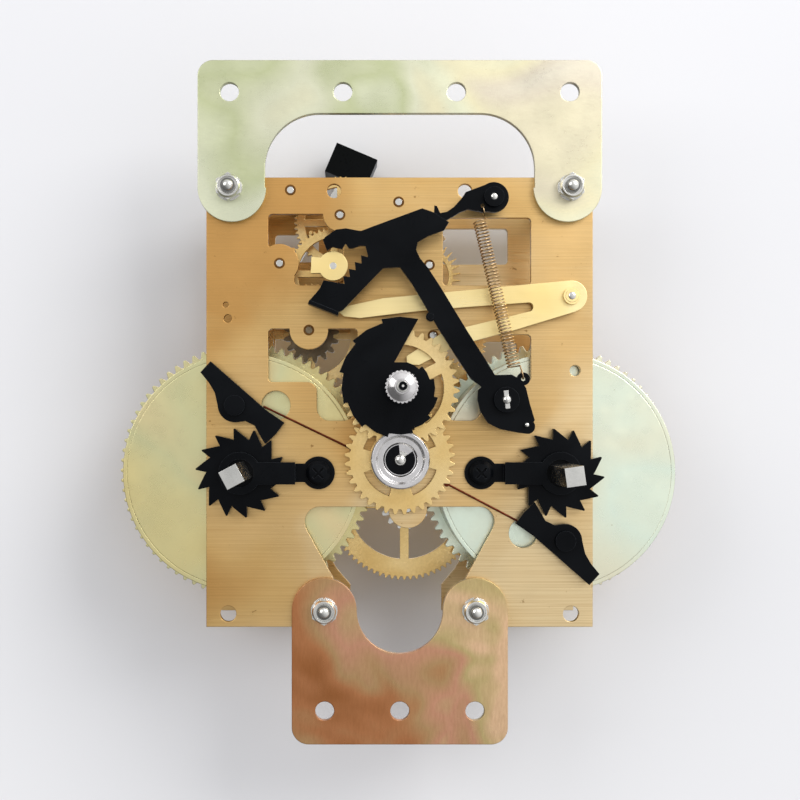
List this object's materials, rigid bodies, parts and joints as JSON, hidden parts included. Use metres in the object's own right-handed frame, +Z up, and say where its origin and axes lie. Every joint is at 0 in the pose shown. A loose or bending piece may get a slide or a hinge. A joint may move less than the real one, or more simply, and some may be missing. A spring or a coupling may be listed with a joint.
{
  "type": "clock movement",
  "caption": "Two-train striking clock movement with spring barrels, rack strike, motion work and plate-mounted brackets.",
  "frame": {"origin": "middle of the minute hand's seat, on the hand arbor", "axes": "+Z up along the plates' length, +X to the right seen from the dial side, -Y out towards the hands"},
  "size_m": [0.139, 0.0615, 0.1621],
  "materials": {
    "plate_brass": "brushed and slightly aged",
    "wheel_brass": "satin",
    "barrel_brass": "satin, turned",
    "lever_brass": "bright",
    "upper_zinc": "passivated zinc plate",
    "lower_zinc": "passivated zinc plate",
    "bright_steel": "satin",
    "black_steel": "black oxide, satin",
    "spring_wire": "tempered brown",
    "spring_steel": "blued",
    "nickel": "nickel plate"
  },
  "bodies": {
    "frame": {"front_plate": "plate_brass", "back_plate": "plate_brass", "pillars": "bright_steel", "pillar_nuts": "bright_steel", "upper_bracket": "upper_zinc", "lower_bracket": "lower_zinc", "left_bridge": "black_steel", "right_bridge": "black_steel", "bridge_screws": "black_steel", "click_studs": "black_steel", "click_springs": "spring_wire", "lever_studs": "bright_steel", "minute_wheel_post": "bright_steel", "suspension_cock": "plate_brass", "tension_spring": "spring_wire"},
    "left_winding": {"left_winding_arbor": "bright_steel", "left_ratchet": "black_steel"},
    "right_winding": {"right_winding_arbor": "bright_steel", "right_ratchet": "black_steel"},
    "left_click": {"left_click": "black_steel"},
    "right_click": {"right_click": "black_steel"},
    "strike_barrel": {"strike_barrel": "barrel_brass", "strike_barrel_cap": "upper_zinc", "strike_mainspring": "spring_steel"},
    "time_barrel": {"time_barrel": "barrel_brass", "time_barrel_cap": "upper_zinc", "time_mainspring": "spring_steel"},
    "minute_arbor": {"minute_arbor": "bright_steel", "lifting_cam": "wheel_brass"},
    "hour": {"hour_wheel": "wheel_brass", "hour_pipe": "nickel", "snail": "black_steel"},
    "minute_wheel": {"minute_wheel": "wheel_brass", "minute_pinion": "bright_steel", "clutch_cup": "nickel"},
    "strike_second": {"strike_second_arbor": "bright_steel", "strike_second_wheel": "wheel_brass"},
    "gathering": {"gathering_arbor": "bright_steel", "gathering_wheel": "wheel_brass", "gathering_pallet": "lever_brass"},
    "warning": {"warning_arbor": "bright_steel", "warning_wheel": "wheel_brass"},
    "fly": {"fly_arbor": "bright_steel", "fly_fan": "wheel_brass"},
    "time_second": {"time_second_arbor": "bright_steel", "time_second_wheel": "wheel_brass"},
    "third": {"third_arbor": "bright_steel", "third_wheel": "wheel_brass"},
    "fourth": {"fourth_arbor": "bright_steel", "fourth_wheel": "wheel_brass"},
    "escape": {"escape_arbor": "bright_steel", "escape_wheel": "wheel_brass"},
    "anchor": {"anchor": "bright_steel", "crutch": "wheel_brass"},
    "hammer": {"hammer_arbor": "bright_steel", "hammer_head": "black_steel"},
    "rack": {"rack": "black_steel"},
    "rack_hook": {"rack_hook": "black_steel"},
    "lifting_lever": {"lifting_lever": "lever_brass"}
  },
  "joints": [
    {"name": "strike_barrel_spin", "type": "hinge", "parent": "frame", "child": "strike_barrel", "pos_m": [-0.0377, 0.02, -0.02], "axis": [0, -1, 0], "continuous": true},
    {"name": "strike_second_spin", "type": "hinge", "parent": "frame", "child": "strike_second", "pos_m": [-0.0216, 0.02, 0.01398], "axis": [0, -1, 0], "continuous": true},
    {"name": "gathering_spin", "type": "hinge", "parent": "frame", "child": "gathering", "pos_m": [-0.0157, 0.02, 0.02831], "axis": [0, -1, 0], "continuous": true},
    {"name": "warning_spin", "type": "hinge", "parent": "frame", "child": "warning", "pos_m": [-0.0142, 0.02, 0.04143], "axis": [0, -1, 0], "continuous": true},
    {"name": "fly_spin", "type": "hinge", "parent": "frame", "child": "fly", "pos_m": [-0.026, 0.02, 0.04734], "axis": [0, -1, 0], "continuous": true},
    {"name": "time_barrel_spin", "type": "hinge", "parent": "frame", "child": "time_barrel", "pos_m": [0.0377, 0.02, -0.02], "axis": [0, -1, 0], "continuous": true},
    {"name": "time_second_spin", "type": "hinge", "parent": "frame", "child": "time_second", "pos_m": [0.00192, 0.02, -0.0286], "axis": [0, -1, 0], "continuous": true},
    {"name": "third_spin", "type": "hinge", "parent": "frame", "child": "third", "pos_m": [0.005, 0.02, -0.00732], "axis": [0, -1, 0], "continuous": true},
    {"name": "fourth_spin", "type": "hinge", "parent": "frame", "child": "fourth", "pos_m": [0.008, 0.02, 0.0127], "axis": [0, -1, 0], "continuous": true},
    {"name": "escape_spin", "type": "hinge", "parent": "frame", "child": "escape", "pos_m": [0.0071, 0.02, 0.02948], "axis": [0, -1, 0], "continuous": true},
    {"name": "minute_arbor_spin", "type": "hinge", "parent": "frame", "child": "minute_arbor", "pos_m": [0, 0.02, 0], "axis": [0, -1, 0], "continuous": true},
    {"name": "minute_wheel_spin", "type": "hinge", "parent": "frame", "child": "minute_wheel", "pos_m": [0, 0.02, -0.0168], "axis": [0, -1, 0], "continuous": true},
    {"name": "hour_spin", "type": "hinge", "parent": "frame", "child": "hour", "pos_m": [0, 0.02, 0], "axis": [0, -1, 0], "continuous": true},
    {"name": "left_winding_turn", "type": "hinge", "parent": "frame", "child": "left_winding", "pos_m": [-0.0377, 0.02, -0.02], "axis": [0, 1, 0], "range_deg": [0, 24]},
    {"name": "left_click_lift", "type": "hinge", "parent": "frame", "child": "left_click", "pos_m": [-0.039, 0.02, -0.004], "axis": [0, -1, 0], "range_deg": [0, 14.4]},
    {"name": "right_winding_turn", "type": "hinge", "parent": "frame", "child": "right_winding", "pos_m": [0.0377, 0.02, -0.02], "axis": [0, 1, 0], "range_deg": [0, 24]},
    {"name": "right_click_lift", "type": "hinge", "parent": "frame", "child": "right_click", "pos_m": [0.039, 0.02, -0.036], "axis": [0, -1, 0], "range_deg": [0, 14.4]},
    {"name": "anchor_rock", "type": "hinge", "parent": "frame", "child": "anchor", "pos_m": [-0.0002, 0.02, 0.0445], "axis": [0, -1, 0], "range_deg": [-2, 2]},
    {"name": "hammer_lift", "type": "hinge", "parent": "frame", "child": "hammer", "pos_m": [-0.0286, 0.02, 0.0299], "axis": [0, -1, 0], "range_deg": [0, 12]},
    {"name": "rack_fall", "type": "hinge", "parent": "frame", "child": "rack", "pos_m": [0.0243, 0.02, -0.0028], "axis": [0, -1, 0], "range_deg": [0, 20], "deforming": ["tension_spring"]},
    {"name": "rack_hook_lift", "type": "hinge", "parent": "frame", "child": "rack_hook", "pos_m": [0.0217, 0.02, 0.0444], "axis": [0, 1, 0], "range_deg": [0, 8], "deforming": ["tension_spring"]},
    {"name": "lifting_lever_lift", "type": "hinge", "parent": "frame", "child": "lifting_lever", "pos_m": [0.0405, 0.02, 0.0218], "axis": [0, 1, 0], "range_deg": [0, 5]}
  ],
  "couplings": [
    {"joint": "strike_second_spin", "follows": "strike_barrel_spin", "ratio": -4.875},
    {"joint": "gathering_spin", "follows": "strike_barrel_spin", "ratio": 25.35},
    {"joint": "warning_spin", "follows": "strike_barrel_spin", "ratio": -141.96},
    {"joint": "fly_spin", "follows": "strike_barrel_spin", "ratio": 794.98},
    {"joint": "time_second_spin", "follows": "time_barrel_spin", "ratio": -5.5714},
    {"joint": "third_spin", "follows": "time_barrel_spin", "ratio": 42.343},
    {"joint": "fourth_spin", "follows": "time_barrel_spin", "ratio": -338.74},
    {"joint": "escape_spin", "follows": "time_barrel_spin", "ratio": 2506.7},
    {"joint": "minute_wheel_spin", "follows": "minute_arbor_spin", "ratio": -0.33333},
    {"joint": "hour_spin", "follows": "minute_arbor_spin", "ratio": 0.083333},
    {"joint": "left_click_lift", "follows": "left_winding_turn", "ratio": 0.6},
    {"joint": "right_click_lift", "follows": "right_winding_turn", "ratio": 0.6}
  ]
}
